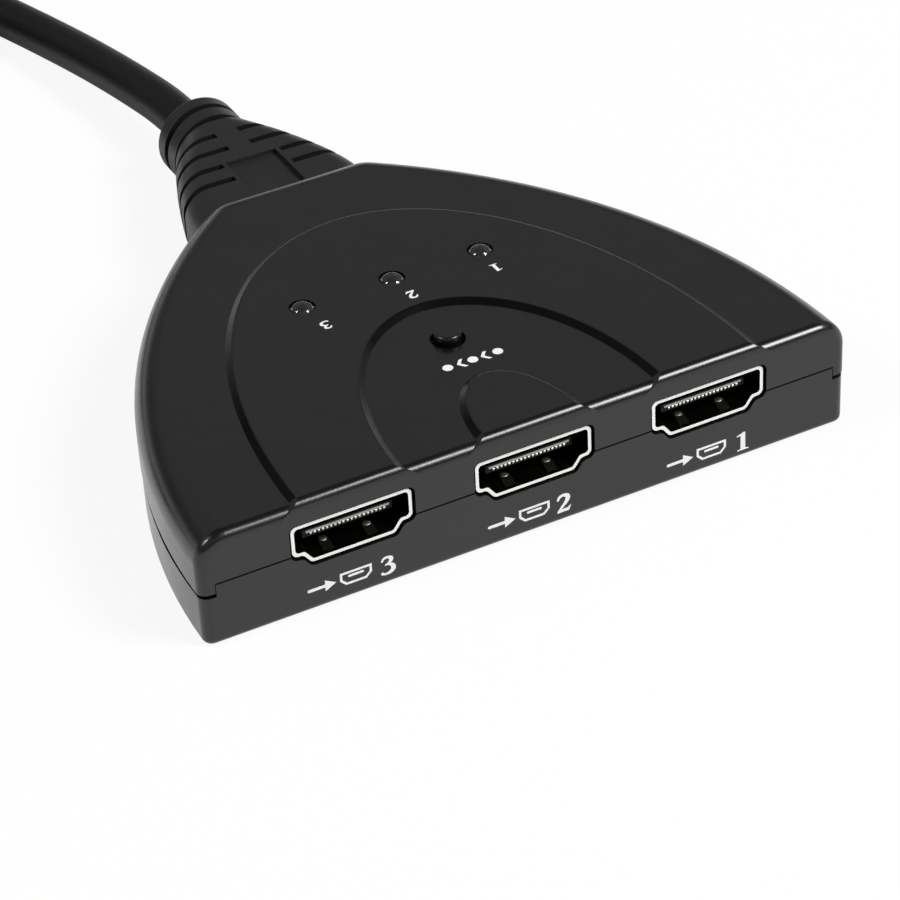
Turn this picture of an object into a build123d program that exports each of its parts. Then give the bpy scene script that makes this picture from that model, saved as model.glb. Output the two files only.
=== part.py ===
from build123d import *
import math
import os

# A three-input switch box: a fan-shaped case with three sockets along its flat front, three lamps
# and a selector button on top, and a captive output cable that leaves the narrow back end.
# Lengths are in millimetres. X runs along the sockets, Y from the front face to the cable, Z up.
# The origin is on the table, under the middle of the case and its strain relief.

# Case
case_width = 82.6
case_depth = 63.7
back_width = 20.8
back_corner_radius = 5.0
rim_height = 14.5
crown_radius = 3.7
front_edge_radius = 1.2
cover_wall = 1.8
cover_top = 1.8
front_wall = 1.8
side_parting = 7.0
front_parting = 8.3
front_strip_width = 78.8
parting_gap = 0.5
fit_gap = 0.1
base_inset = 0.1
base_floor = 1.6
base_wall = 1.6
base_edge_radius = 0.8
lip_thickness = 0.8
lip_height = 1.5
cut_overrun = 3.0

# Raised zones on the cover, as half-width and depth: a wide arch, a lowered arch in it and a small
# raised arch at the front
wide_arch = (28.65, 49.75)
low_arch = (16.85, 27.85)
small_arch = (5.85, 11.35)
step_height = 0.55
step_run = 0.9
step_root = 1.3
step_edge_radius = 0.6

# Sockets
socket_side_place = 18.6
socket_count = 3
socket_height = 9.15
socket_inner_width = 13.95
socket_inner_height = 4.56
socket_side_height = 3.25
socket_shoulder = 1.1
socket_taper = 2.08
socket_rounding = 0.5
socket_rounding_share = 0.6
sheet = 0.4
socket_length = 11.0
socket_setback = 0.3
socket_gap = 0.3
tongue_width = 11.0
tongue_thickness = 1.0
tongue_rise = 0.45
tongue_setback = 1.2
insulator_depth = 4.0
insulator_gap = 0.05
spring_width = 1.3
spring_length = 3.2
spring_rise = 0.55
spring_spacing = 5.4
spring_setback = 0.6
tab_places = (4.0, 9.0)
tab_width = 1.6
tab_below = 0.8
contact_width = 0.3
contact_pitch = 1.0
contact_thickness = 0.16
contact_counts = (10, 9)
contact_setback = 1.3
contact_drops = (0.9, 0.4)
contact_feet = (0.8, 1.3)

# Circuit board and what stands on it
board_thickness = 1.6
board_margin = 3.2
board_back_margin = 12.0
slot_gap = 0.15
chip_size = 7.0
chip_height = 0.9
chip_place = 28.6
pin_count = 12
pin_pitch = 0.5
pin_width = 0.22
pin_length = 0.8
pin_thickness = 0.15
guard_size = (3.0, 1.9, 0.8)
guard_spacing = 6.0
guard_place = 15.8
capacitor_size = (1.6, 0.8, 0.8)
capacitor_counts = (2, 4)
capacitor_spacing = (17.0, 2.2)

# Lamps
lamp_spacing = 11.8
lamp_place = 34.5
lamp_radius = 1.5
lamp_flange_radius = 1.9
lamp_flange = 1.0
lamp_length = 5.2
lamp_dome = 0.9
lamp_proud = 0.55
lamp_hole_gap = 0.1
lead_thickness = 0.5
lead_spacing = 2.54
lead_below = 1.0

# Selector button and the switch under it
button_place = 20.4
button_radius = 1.65
button_hole_radius = 2.1
button_proud = 1.1
button_edge_radius = 0.3
button_flange_radius = 3.1
button_flange = 0.8
button_foot_radius = 1.4
button_stop_gap = 0.05
switch_size = 6.0
switch_body_height = 3.1
switch_plate = 0.3
switch_height = 4.3
plunger_radius = 1.65
plunger_flange_radius = 2.1
plunger_flange = 0.5
plunger_gap = 0.08
switch_well_depth = 1.0
switch_leg_width = 0.7
switch_leg_thickness = 0.3
switch_leg_spacing = 4.5

# Screws
screw_side_inset = 7.0
screw_front_inset = 9.0
screw_back_offset = 17.0
screw_back_inset = 15.5
screw_radius = 1.1
screw_head_radius = 2.1
screw_head_height = 1.3
screw_well_radius = 2.5
screw_well_depth = 2.4
screw_length = 9.0
screw_gap = 0.06
screw_pass_gap = 0.3
drive_width = 0.6
drive_length = 2.6
drive_depth = 0.7
post_radius = 3.2
boss_radius = 2.7

# Strain relief
boot_length = 28.6
boot_reach = 6.0
boot_stations = (0.0, 2.8, 7.3, 11.8, 16.3, 19.3, 22.6)
boot_widths = (24.6, 24.1, 22.5, 19.8, 16.7, 14.2, 11.6)
boot_heights = (10.0, 10.0, 10.0, 10.2, 10.6, 10.9, 11.2)
boot_tops = (11.6, 11.6, 11.6, 11.5, 11.4, 11.35, 11.3)
boot_roundings = (3.4, 3.4, 3.5, 3.7, 4.2, 4.7, 5.4)
collar_start = 22.4
collar_radius = 5.7
boot_slot_width = 1.1
boot_slot_depth = 1.2
boot_slot_places = (6.8, 10.4, 14.3, 18.1)
boot_spines = (8.0, 8.0, 3.0, 3.0)
boot_ring_places = (22.4, 25.7)
pocket_width = 6.9
pocket_length = 10.9
pocket_depth = 0.6
boot_tip_radius = 0.5
neck_width = 11.0
neck_height = 7.4
neck_rounding = 2.5
flange_width = 14.0
flange_height = 8.0
flange_thickness = 1.5

# Captive cable: the stub and the wires inside the case, then the free length outside it
cable_diameter = 5.8
cable_height = 5.7
stub_length = 2.5
wire_diameter = 0.8
wire_spacing = 0.95
wire_spread = 2.4
wire_count = 5
wire_landing = 2.2
wire_straight = 1.6
wire_bend_radius = 1.6
bare_gap = 0.02
coil_centre = (-45.8, 106.85)
coil_radius = 31.5
coil_step = 6.6
coil_layer = 6.3
coil_start_angle = 20.0
coil_angle = 88.0
coil_arcs = 10
coil_checks = 700
bend_share = 0.45

# Output plug
plug_rear = (-75.4, 63.0)
plug_width = 20.6
plug_height = 11.0
plug_rounding = 2.6
plug_edge_radius = 0.6
plug_body_length = 29.0
plug_shoulder = 5.0
plug_shoulder_width = 13.0
plug_shoulder_height = 9.4
plug_sleeve_length = 13.0
plug_sleeve_radius = 4.7
plug_sleeve_tip_radius = 3.9
plug_groove_depth = 0.7
plug_groove_width = 1.1
plug_groove_pitch = 2.6
plug_groove_count = 4
plug_grip_size = (13.0, 15.0)
plug_grip_depth = 0.4
plug_grip_rounding = 2.0
plug_shell_length = 11.5
plug_shell_seat = 2.0
plug_shell_width = 13.9
plug_shell_height = 4.45
plug_sheet = 0.35
plug_core_setback = 0.6
plug_slot_width = 11.4
plug_slot_height = 1.3
plug_slot_depth = 7.0

# Places that follow from the sizes
front_y = -(case_depth + boot_length) / 2
back_y = front_y + case_depth
tip_y = back_y + boot_length
side_set_in = (case_width - back_width) / 2
side_radius = (side_set_in**2 + case_depth**2) / (2 * side_set_in)
zone_top = rim_height + step_height
ceiling = rim_height - cover_top
board_top = socket_height - socket_inner_height / 2 - sheet
board_bottom = board_top - board_thickness
board_front = front_y + front_wall + socket_setback
board_back = back_y - board_back_margin
socket_front = front_y + socket_setback
socket_back = socket_front + socket_length
socket_pitch = (case_width - 2 * socket_side_place) / (socket_count - 1)
socket_xs = [(place - (socket_count - 1) / 2) * socket_pitch for place in range(socket_count)]
lamp_xs = [(place - (socket_count - 1) / 2) * lamp_spacing for place in range(socket_count)]
lamp_y = front_y + lamp_place
lamp_base = zone_top + lamp_proud - lamp_length
button_y = front_y + button_place
screw_front = (case_width / 2 - screw_side_inset, front_y + screw_front_inset)
screw_back = (screw_back_offset, back_y - screw_back_inset)
screw_places = [(side * x, y) for x, y in (screw_front, screw_back) for side in (-1, 1)]
screw_tip = screw_well_depth + screw_length
switch_top = board_top + switch_height
cable_radius = cable_diameter / 2
lying_height = cable_radius + bare_gap
flange_back = back_y - cover_wall - fit_gap - lip_thickness - fit_gap
wire_start = flange_back - flange_thickness - stub_length
upright = (Align.CENTER, Align.CENTER, Align.MIN)
os.makedirs("parts", exist_ok=True)


def finish(builder, name):
    """Label a finished piece and write it under its own name."""
    builder.part.label = name
    export_step(builder.part, f"parts/{name}.step")


def fan_outline(inset, front):
    """Draw the case's outline in the open sketch, set in from its sides and back."""
    arc_centre = side_radius - case_width / 2
    with Locations((-arc_centre, front_y)):
        Circle(side_radius - inset)
    with Locations((arc_centre, front_y)):
        Circle(side_radius - inset, mode=Mode.INTERSECT)
    depth = back_y - inset - front
    with Locations((0, front + depth / 2)):
        Rectangle(2 * case_width, depth, mode=Mode.INTERSECT)
    fillet(vertices().group_by(Axis.Y)[-1], back_corner_radius - inset)


def port_outline(width, height, growth):
    """Draw a port's rounded outline with its two lower corners drawn in, grown on all sides."""
    half = width / 2
    top = height / 2
    shoulder = top - socket_side_height
    outline = Polygon(
        (-half, top),
        (half, top),
        (half, shoulder),
        (half - socket_shoulder, shoulder),
        (half - socket_taper, -top),
        (socket_taper - half, -top),
        (socket_shoulder - half, shoulder),
        (-half, shoulder),
        align=None,
        mode=Mode.PRIVATE,
    )
    if growth:
        outline = offset(outline, amount=growth, kind=Kind.INTERSECTION, mode=Mode.PRIVATE)
    add(outline)
    fillet(vertices(), socket_rounding + socket_rounding_share * growth)


def facing_front(x, y, z):
    """A plane across the Y axis, seen from the front, with its own X to the right and Y up."""
    return Plane(origin=(x, y, z), x_dir=(1, 0, 0), z_dir=(0, -1, 0))


def facing_side(x):
    """A plane across the X axis, with its own X along the case and Y up."""
    return Plane(origin=(x, 0, 0), x_dir=(0, 1, 0), z_dir=(1, 0, 0))


# Opening round a socket
with BuildSketch() as socket_hole:
    port_outline(socket_inner_width, socket_inner_height, sheet + socket_gap)

# Raised zones of the cover, drawn as whole ellipses about the front face and trimmed back to it
with BuildPart() as raised_zones:
    for arch, growth, zone_mode in (
        (wide_arch, 1, Mode.ADD),
        (low_arch, -1, Mode.SUBTRACT),
        (small_arch, 1, Mode.ADD),
    ):
        for level in (-step_root, step_height):
            spread = growth * (step_height - level) * step_run / step_height
            with BuildSketch(Plane.XY.offset(rim_height + level)):
                with Locations((0, front_y)):
                    Ellipse(arch[0] + spread, arch[1] + spread)
        loft(mode=zone_mode)
    split(bisect_by=Plane.XZ.offset(-front_y), keep=Keep.BOTTOM)
    fillet(raised_zones.edges().group_by(Axis.Z)[-1], step_edge_radius)
    # Rounded front edge
    with BuildSketch(facing_side(-case_width)):
        with Locations((front_y, zone_top)):
            Rectangle(2 * front_edge_radius, 2 * front_edge_radius)
        with Locations((front_y + front_edge_radius, zone_top - front_edge_radius)):
            Circle(front_edge_radius, mode=Mode.SUBTRACT)
    extrude(amount=2 * case_width, mode=Mode.SUBTRACT)

# Top cover
with BuildPart() as top_cover:
    with BuildSketch(Plane.XY.offset(side_parting)):
        fan_outline(0, front_y - cut_overrun)
    extrude(amount=rim_height - side_parting)
    crown = top_cover.faces().sort_by(Axis.Z)[-1]
    fillet(crown.edges().sort_by(Axis.Y)[1:], crown_radius)
    split(bisect_by=Plane.XZ.offset(-front_y), keep=Keep.BOTTOM)
    front_face = top_cover.faces().sort_by(Axis.Y)[0]
    fillet(front_face.edges().sort_by(Axis.Z)[1:], front_edge_radius)
    add(raised_zones.part)
    # Hollow
    with BuildSketch(Plane.XY.offset(side_parting)):
        fan_outline(cover_wall, front_y + front_wall)
    extrude(amount=ceiling - side_parting, mode=Mode.SUBTRACT)
    # Room for the lower case's front wall
    with BuildSketch(Plane.XY.offset(side_parting)):
        with Locations((0, front_y + front_wall / 2)):
            Rectangle(front_strip_width + 2 * fit_gap, 2 * front_wall)
    extrude(amount=front_parting - side_parting, mode=Mode.SUBTRACT)
    # Openings for the sockets and the strain relief
    with BuildSketch(facing_front(0, front_y - cut_overrun, socket_height)):
        with Locations(*[(x, 0) for x in socket_xs]):
            add(socket_hole.sketch)
    extrude(amount=-(cut_overrun + front_wall + fit_gap), mode=Mode.SUBTRACT)
    with BuildSketch(facing_front(0, back_y - cover_wall - cut_overrun, cable_height)):
        RectangleRounded(neck_width + 2 * fit_gap, neck_height + 2 * fit_gap, neck_rounding)
    extrude(amount=-(cover_wall + 2 * cut_overrun), mode=Mode.SUBTRACT)
    # Screw bosses
    with Locations(*[(x, y, board_top) for x, y in screw_places]):
        Cylinder(boss_radius, ceiling - board_top + cover_top / 2, align=upright)
    with Locations(*[(x, y, board_top) for x, y in screw_places]):
        bore_depth = screw_tip - board_top + fit_gap
        Cylinder(screw_radius + screw_gap, bore_depth, align=upright, mode=Mode.SUBTRACT)
    # Lamp holes and the button hole
    with Locations(*[(x, lamp_y, zone_top) for x in lamp_xs]):
        Hole(lamp_radius + lamp_hole_gap, depth=zone_top - ceiling + fit_gap)
    with Locations((0, button_y, zone_top)):
        Hole(button_hole_radius, depth=zone_top - ceiling + fit_gap)
finish(top_cover, "top_cover")

# Lip that stands inside the cover's skirt, along the sides and the back
with BuildSketch() as lip_room:
    fan_outline(cover_wall + fit_gap + lip_thickness, front_y)
with BuildSketch() as lip_ring:
    fan_outline(cover_wall + fit_gap, front_y + front_wall + fit_gap)
    add(lip_room.sketch, mode=Mode.SUBTRACT)

# Bottom case
with BuildPart() as bottom_case:
    with BuildSketch():
        fan_outline(base_inset, front_y)
    extrude(amount=side_parting - parting_gap)
    fillet(bottom_case.edges().filter_by(Axis.Z).group_by(Axis.Y)[0], front_edge_radius)
    fillet(bottom_case.faces().sort_by(Axis.Z)[0].edges(), base_edge_radius)
    # Front wall between the two steps of the parting line
    with BuildSketch(Plane.XY.offset(side_parting - parting_gap)):
        with Locations((0, front_y + front_wall / 2)):
            Rectangle(front_strip_width, front_wall)
    extrude(amount=front_parting - fit_gap - side_parting + parting_gap)
    with BuildSketch(Plane.XY.offset(base_floor)):
        fan_outline(base_inset + base_wall, front_y + front_wall)
    extrude(amount=rim_height, mode=Mode.SUBTRACT)
    with BuildSketch(Plane.XY.offset(base_floor)):
        add(lip_ring.sketch)
    extrude(amount=side_parting + lip_height - base_floor)
    # Openings for the sockets and the strain relief
    with BuildSketch(facing_front(0, front_y - cut_overrun, socket_height)):
        with Locations(*[(x, 0) for x in socket_xs]):
            add(socket_hole.sketch)
    extrude(amount=-(cut_overrun + front_wall + fit_gap), mode=Mode.SUBTRACT)
    with BuildSketch(facing_front(0, back_y - cover_wall - cut_overrun, cable_height)):
        RectangleRounded(neck_width + 2 * fit_gap, neck_height + 2 * fit_gap, neck_rounding)
    extrude(amount=-(cover_wall + 2 * cut_overrun), mode=Mode.SUBTRACT)
    # Screw posts, bored from the underside
    with Locations(*[(x, y, 0) for x, y in screw_places]):
        Cylinder(post_radius, board_bottom, align=upright)
    with Locations(*[Plane(origin=(x, y, 0), z_dir=(0, 0, -1)) for x, y in screw_places]):
        CounterBoreHole(
            radius=screw_radius + screw_gap,
            counter_bore_radius=screw_well_radius,
            counter_bore_depth=screw_well_depth,
            depth=board_bottom + fit_gap,
        )
finish(bottom_case, "bottom_case")

# Screws that clamp the cover, the board and the lower case
with BuildPart() as case_screws:
    with Locations(*[(x, y, screw_well_depth - screw_head_height) for x, y in screw_places]):
        Cylinder(screw_head_radius, screw_head_height, align=upright)
    with Locations(*[(x, y, screw_well_depth) for x, y in screw_places]):
        Cylinder(screw_radius, screw_length, align=upright)
    with BuildSketch(Plane.XY.offset(screw_well_depth - screw_head_height)):
        with Locations(*screw_places):
            Rectangle(drive_width, drive_length)
            Rectangle(drive_length, drive_width)
    extrude(amount=drive_depth, mode=Mode.SUBTRACT)
finish(case_screws, "case_screws")

# Sockets: a folded shell with soldering tabs, the contacts, and an insulator with a tongue
tongue_height = socket_height + tongue_rise
for number, socket_x in enumerate(socket_xs):
    socket_name = socket_count - number
    shell_plane = facing_front(socket_x, socket_front, socket_height)
    with BuildPart() as socket_shell:
        with BuildSketch(shell_plane):
            port_outline(socket_inner_width, socket_inner_height, sheet)
        extrude(amount=-socket_length)
        # Tabs that stand in the board's slots
        tab_x = (socket_inner_width + sheet) / 2
        with Locations(
            *[
                (socket_x + side * tab_x, socket_front + place, board_bottom - tab_below)
                for side in (-1, 1)
                for place in tab_places
            ]
        ):
            Box(sheet, tab_width, socket_height - board_bottom + tab_below, align=upright)
        with BuildSketch(shell_plane):
            port_outline(socket_inner_width, socket_inner_height, 0)
        extrude(amount=-socket_length, mode=Mode.SUBTRACT)
        # Bent springs that rise from the shell's floor
        floor_height = socket_height - socket_inner_height / 2
        spring_y = socket_front + spring_setback
        spring_lefts = [socket_x + (side * spring_spacing - spring_width) / 2 for side in (-1, 1)]
        with BuildSketch(*[facing_side(left) for left in spring_lefts]):
            with BuildLine():
                Polyline(
                    (spring_y, floor_height),
                    (spring_y + spring_length / 2, floor_height + spring_rise),
                    (spring_y + spring_length, floor_height),
                    (spring_y + spring_length, floor_height - sheet / 2),
                    (spring_y, floor_height - sheet / 2),
                    close=True,
                )
            make_face()
        extrude(amount=spring_width)
    finish(socket_shell, f"socket_shell_{socket_name}")

    # Each contact runs along the tongue, drops behind the insulator and ends in a foot on the board
    with BuildPart() as socket_contacts:
        for count, side, drop, foot in zip(contact_counts, (1, -1), contact_drops, contact_feet):
            face = tongue_height + side * tongue_thickness / 2
            low = face if side > 0 else face - contact_thickness
            start_y = socket_front + tongue_setback + contact_setback
            drop_y = socket_back + drop
            first_x = socket_x - ((count - 1) * contact_pitch + contact_width) / 2
            with BuildSketch(*[facing_side(first_x + place * contact_pitch) for place in range(count)]):
                with BuildLine():
                    Polyline(
                        (start_y, low),
                        (drop_y - contact_thickness, low),
                        (drop_y - contact_thickness, board_top),
                        (drop_y + foot, board_top),
                        (drop_y + foot, board_top + contact_thickness),
                        (drop_y, board_top + contact_thickness),
                        (drop_y, low + contact_thickness),
                        (start_y, low + contact_thickness),
                        close=True,
                    )
                make_face()
            extrude(amount=contact_width)
    finish(socket_contacts, f"socket_contacts_{socket_name}")

    with BuildPart() as socket_insulator:
        with BuildSketch(facing_front(socket_x, socket_back - insulator_depth, socket_height)):
            port_outline(socket_inner_width, socket_inner_height, -insulator_gap)
        extrude(amount=-insulator_depth)
        with BuildSketch(facing_front(socket_x, socket_front + tongue_setback, tongue_height)):
            Rectangle(tongue_width, tongue_thickness)
        extrude(amount=tongue_setback - socket_length)
        add(socket_contacts.part, mode=Mode.SUBTRACT)
    finish(socket_insulator, f"socket_insulator_{socket_name}")

# Circuit board
leg_x = (switch_size + switch_leg_thickness) / 2
leg_places = [
    (side * leg_x, button_y + end * switch_leg_spacing / 2) for side in (-1, 1) for end in (-1, 1)
]
lead_places = [(x + side * lead_spacing / 2, lamp_y) for x in lamp_xs for side in (-1, 1)]
with BuildPart() as circuit_board:
    with BuildSketch(Plane.XY.offset(board_bottom)):
        fan_outline(board_margin, board_front)
        with Locations((0, board_back + case_depth / 2)):
            Rectangle(case_width, case_depth, mode=Mode.SUBTRACT)
    extrude(amount=board_thickness)
    with Locations(*[(x, y, board_top) for x, y in screw_places]):
        Hole(screw_radius + screw_pass_gap)
    with Locations(*[(x, y, board_bottom) for x, y in lead_places]):
        Cylinder(lead_thickness, board_thickness, align=upright, mode=Mode.SUBTRACT)
    with BuildSketch(Plane.XY.offset(board_bottom)):
        with Locations(
            *[
                (x + side * tab_x, socket_front + place)
                for x in socket_xs
                for side in (-1, 1)
                for place in tab_places
            ]
        ):
            Rectangle(sheet + 2 * slot_gap, tab_width + 2 * slot_gap)
        with Locations(*leg_places):
            Rectangle(switch_leg_thickness + 2 * slot_gap, switch_leg_width + 2 * slot_gap)
    extrude(amount=board_thickness, mode=Mode.SUBTRACT)
finish(circuit_board, "circuit_board")

# Selector chip and its pins, with small parts round it
chip_y = front_y + chip_place
with BuildPart() as selector_chip:
    with Locations((0, chip_y, board_top)):
        Box(chip_size, chip_size, chip_height, align=upright)
    chamfer(selector_chip.faces().sort_by(Axis.Z)[-1].edges(), pin_thickness)
finish(selector_chip, "selector_chip")

with BuildPart() as chip_pins:
    reach = (chip_size + pin_length) / 2
    with Locations((0, chip_y - reach, board_top), (0, chip_y + reach, board_top)):
        with GridLocations(pin_pitch, 0, pin_count, 1):
            Box(pin_width, pin_length, pin_thickness, align=upright)
    with Locations((-reach, chip_y, board_top), (reach, chip_y, board_top)):
        with GridLocations(0, pin_pitch, 1, pin_count):
            Box(pin_length, pin_width, pin_thickness, align=upright)
finish(chip_pins, "chip_pins")

with BuildPart() as guard_chips:
    for x in (socket_xs[0], socket_xs[-1]):
        with Locations((x, front_y + guard_place, board_top)):
            with GridLocations(guard_spacing, 0, 2, 1):
                Box(*guard_size, align=upright)
finish(guard_chips, "guard_chips")

with BuildPart() as capacitors:
    with Locations((0, chip_y, board_top)):
        with GridLocations(*capacitor_spacing, *capacitor_counts):
            Box(*capacitor_size, align=upright)
finish(capacitors, "capacitors")

# Lamps and their leads
for number, lamp_x in enumerate(lamp_xs):
    with BuildPart() as lamp:
        with BuildSketch(facing_front(lamp_x, lamp_y, lamp_base)):
            with BuildLine():
                Polyline(
                    (0, lamp_length),
                    (0, 0),
                    (lamp_flange_radius, 0),
                    (lamp_flange_radius, lamp_flange),
                    (lamp_radius, lamp_flange),
                    (lamp_radius, lamp_length - lamp_dome),
                )
                TangentArc((0, lamp_length), (lamp_radius, lamp_length - lamp_dome), tangent=(1, 0))
            make_face()
        revolve(axis=Axis((lamp_x, lamp_y, lamp_base), (0, 0, 1)))
    finish(lamp, f"lamp_{socket_count - number}")

with BuildPart() as lamp_leads:
    with Locations(*[(x, y, board_bottom - lead_below) for x, y in lead_places]):
        Box(lead_thickness, lead_thickness, lamp_base - board_bottom + lead_below, align=upright)
finish(lamp_leads, "lamp_leads")

# Switch under the button
plunger_foot = board_top + switch_body_height - button_stop_gap - plunger_flange
with BuildPart() as switch_body:
    with Locations((0, button_y, board_top)):
        Box(switch_size, switch_size, switch_body_height, align=upright)
    with Locations((0, button_y, board_top + switch_body_height)):
        Hole(plunger_flange_radius + plunger_gap, depth=switch_well_depth)
finish(switch_body, "switch_body")

with BuildPart() as switch_cover:
    with Locations((0, button_y, board_top + switch_body_height)):
        Box(switch_size, switch_size, switch_plate, align=upright)
        Cylinder(plunger_radius + plunger_gap, switch_plate, align=upright, mode=Mode.SUBTRACT)
finish(switch_cover, "switch_cover")

with BuildPart() as switch_legs:
    with Locations(*[(x, y, board_bottom - lead_below) for x, y in leg_places]):
        Box(
            switch_leg_thickness,
            switch_leg_width,
            board_thickness + lead_below + switch_body_height / 2,
            align=upright,
        )
finish(switch_legs, "switch_legs")

with BuildPart() as switch_plunger:
    with Locations((0, button_y, plunger_foot)):
        Cylinder(plunger_flange_radius, plunger_flange, align=upright)
        Cylinder(plunger_radius, switch_top - plunger_foot, align=upright)
finish(switch_plunger, "switch_plunger")

# Selector button, held under the cover by its flange
button_top = rim_height + button_proud
flange_top = ceiling - button_stop_gap
with BuildPart() as select_button:
    with Locations((0, button_y, switch_top)):
        Cylinder(button_foot_radius, flange_top - switch_top, align=upright)
    with Locations((0, button_y, flange_top - button_flange)):
        Cylinder(button_flange_radius, button_flange, align=upright)
        Cylinder(button_radius, button_top - flange_top + button_flange, align=upright)
    fillet(select_button.edges().group_by(Axis.Z)[-1], button_edge_radius)
finish(select_button, "select_button")


def boot_section(place, shrink):
    """Draw one cross-section of the strain relief in the open sketch, smaller all round by shrink."""
    height = boot_heights[place]
    with Locations((0, boot_tops[place] - height / 2 - cable_height)):
        RectangleRounded(
            boot_widths[place] - 2 * shrink,
            height - 2 * shrink,
            boot_roundings[place] - shrink,
        )


def boot_plane(station):
    """The plane across the strain relief at a station, about the cable's axis."""
    return Plane(origin=(0, back_y + station, cable_height), x_dir=(-1, 0, 0), z_dir=(0, 1, 0))


# What the strain relief's slots are cut with: slabs and rings round a core, short of a spine
with BuildPart() as boot_cutters:
    slab_places = boot_slot_places + boot_ring_places
    with Locations(*[(0, back_y + station, cable_height) for station in slab_places]):
        Box(case_width, boot_slot_width, 2 * rim_height)
    for place, station in enumerate(boot_stations):
        with BuildSketch(boot_plane(station)):
            boot_section(place, boot_slot_depth)
    loft(mode=Mode.SUBTRACT)
    with BuildSketch(boot_plane(collar_start)):
        Circle(collar_radius - boot_slot_depth)
    extrude(amount=boot_length - collar_start, mode=Mode.SUBTRACT)
    for station, spine in zip(boot_slot_places, boot_spines):
        with Locations((0, back_y + station, cable_height)):
            Box(spine, 2 * boot_slot_width, 2 * rim_height, mode=Mode.SUBTRACT)

with BuildSketch() as case_shadow:
    fan_outline(-fit_gap, front_y)

# Strain relief, moulded against the rounded back of the case, with a neck and a flange inside it
with BuildPart() as strain_relief:
    with BuildSketch(boot_plane(collar_start)):
        Circle(collar_radius)
    extrude(amount=boot_length - collar_start)
    fillet(strain_relief.faces().sort_by(Axis.Y)[-1].edges(), boot_tip_radius)
    for place, station in enumerate(boot_stations):
        with BuildSketch(boot_plane(station)):
            boot_section(place, 0)
    loft()
    with BuildSketch(boot_plane(0)):
        boot_section(0, 0)
    extrude(amount=-boot_reach)
    with BuildSketch():
        add(case_shadow.sketch)
    extrude(amount=rim_height, mode=Mode.SUBTRACT)
    add(boot_cutters.part, mode=Mode.SUBTRACT)
    # Shallow pocket in the top, next to the case
    with Locations((0, back_y, boot_tops[0])):
        Box(pocket_width, 2 * pocket_length, 2 * pocket_depth, mode=Mode.SUBTRACT)
    # Neck and flange
    with BuildSketch(boot_plane(fit_gap)):
        RectangleRounded(neck_width, neck_height, neck_rounding)
    extrude(amount=flange_back - back_y - fit_gap)
    with BuildSketch(boot_plane(flange_back - back_y)):
        RectangleRounded(flange_width, flange_height, neck_rounding)
    extrude(amount=-flange_thickness)
    # Bore for the cable
    with BuildSketch(boot_plane(boot_length)):
        Circle(cable_radius)
    extrude(amount=-(boot_length + case_depth / 2), mode=Mode.SUBTRACT)
finish(strain_relief, "strain_relief")

# Cable inside the strain relief
with BuildPart() as cable_stub:
    with BuildSketch(boot_plane(boot_length)):
        Circle(cable_radius)
    extrude(amount=wire_start - tip_y)
finish(cable_stub, "cable_stub")

# Wires from the cable's end to the board
with BuildPart() as cable_wires:
    for number in range(wire_count):
        place = number - (wire_count - 1) / 2
        wire_x = place * wire_spacing
        land_x = place * wire_spread
        land_z = board_top + wire_diameter / 2
        wire_route = (
            (wire_x, wire_start, cable_height),
            (wire_x, wire_start - wire_straight, cable_height),
            (land_x, board_back + wire_straight, land_z),
            (land_x, board_back - wire_landing, land_z),
        )
        with BuildLine():
            FilletPolyline(*wire_route, radius=wire_bend_radius)
        with BuildSketch(facing_front(wire_x, wire_start, cable_height)):
            Circle(wire_diameter / 2)
        sweep()
finish(cable_wires, "cable_wires")


def coil_point(step):
    """The coil's centre line after a number of arcs: where it is and which way it goes."""
    half = coil_arcs / 2
    angle = math.radians(coil_start_angle + step * coil_angle)
    inward = min(step, coil_arcs - step) * coil_angle / 360
    radius = coil_radius - inward * coil_step
    level = min(max((step - half + 1) / 2, 0), 1)
    drift = (0 if step == half else math.copysign(1, step - half)) * coil_step / math.tau
    climb = coil_layer * 3 / 4 / math.radians(coil_angle) if step == half else 0
    point = Vector(
        coil_centre[0] + radius * math.cos(angle),
        coil_centre[1] + radius * math.sin(angle),
        lying_height + level * coil_layer,
    )
    heading = Vector(
        drift * math.cos(angle) - radius * math.sin(angle),
        drift * math.sin(angle) + radius * math.cos(angle),
        climb,
    )
    return point, heading.normalized()


def biarc_joint(start, start_way, end, end_way):
    """Where two arcs of equal reach meet between two points of a curve, and which way they go there."""
    gap = end - start
    spread = 2 * (1 - start_way.dot(end_way))
    reach = 2 * gap.dot(start_way + end_way)
    length = (math.sqrt(reach * reach + 4 * spread * gap.dot(gap)) - reach) / (2 * spread)
    first = start + start_way * length
    last = end - end_way * length
    return (first + last) / 2, (last - first).normalized()


# Coil of spare cable: one unbroken tube that winds in, climbs a layer and winds out again
coil_start, coil_start_way = coil_point(0)
coil_end, coil_end_way = coil_point(coil_arcs)
coil_inlet = coil_start - coil_start_way * cable_diameter
coil_outlet = coil_end + coil_end_way * cable_diameter
with BuildPart() as cable_coil:
    with BuildLine() as coil_path:
        Line(coil_inlet, coil_start)
        for step in range(coil_arcs):
            here, way = coil_point(step)
            there, next_way = coil_point(step + 1)
            joint, joint_way = biarc_joint(here, way, there, next_way)
            TangentArc(here, joint, tangent=way)
            TangentArc(joint, there, tangent=joint_way)
        Line(coil_end, coil_outlet)
    with BuildSketch(Plane(origin=coil_inlet, z_dir=coil_start_way)):
        Circle(cable_radius)
    sweep()
finish(cable_coil, "cable_coil")
coil_wire = coil_path.wire()
coil_samples = [coil_wire @ (place / coil_checks) for place in range(coil_checks + 1)]
half_turn = math.pi * (coil_radius - 2 * coil_step)
coil_skip = round(coil_checks * half_turn / coil_wire.length)
coil_gap = min(
    (coil_samples[first] - coil_samples[second]).length
    for first in range(coil_checks + 1)
    for second in range(first + coil_skip, coil_checks + 1)
)
coil_volume = math.pi * cable_radius**2 * coil_wire.length
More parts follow.
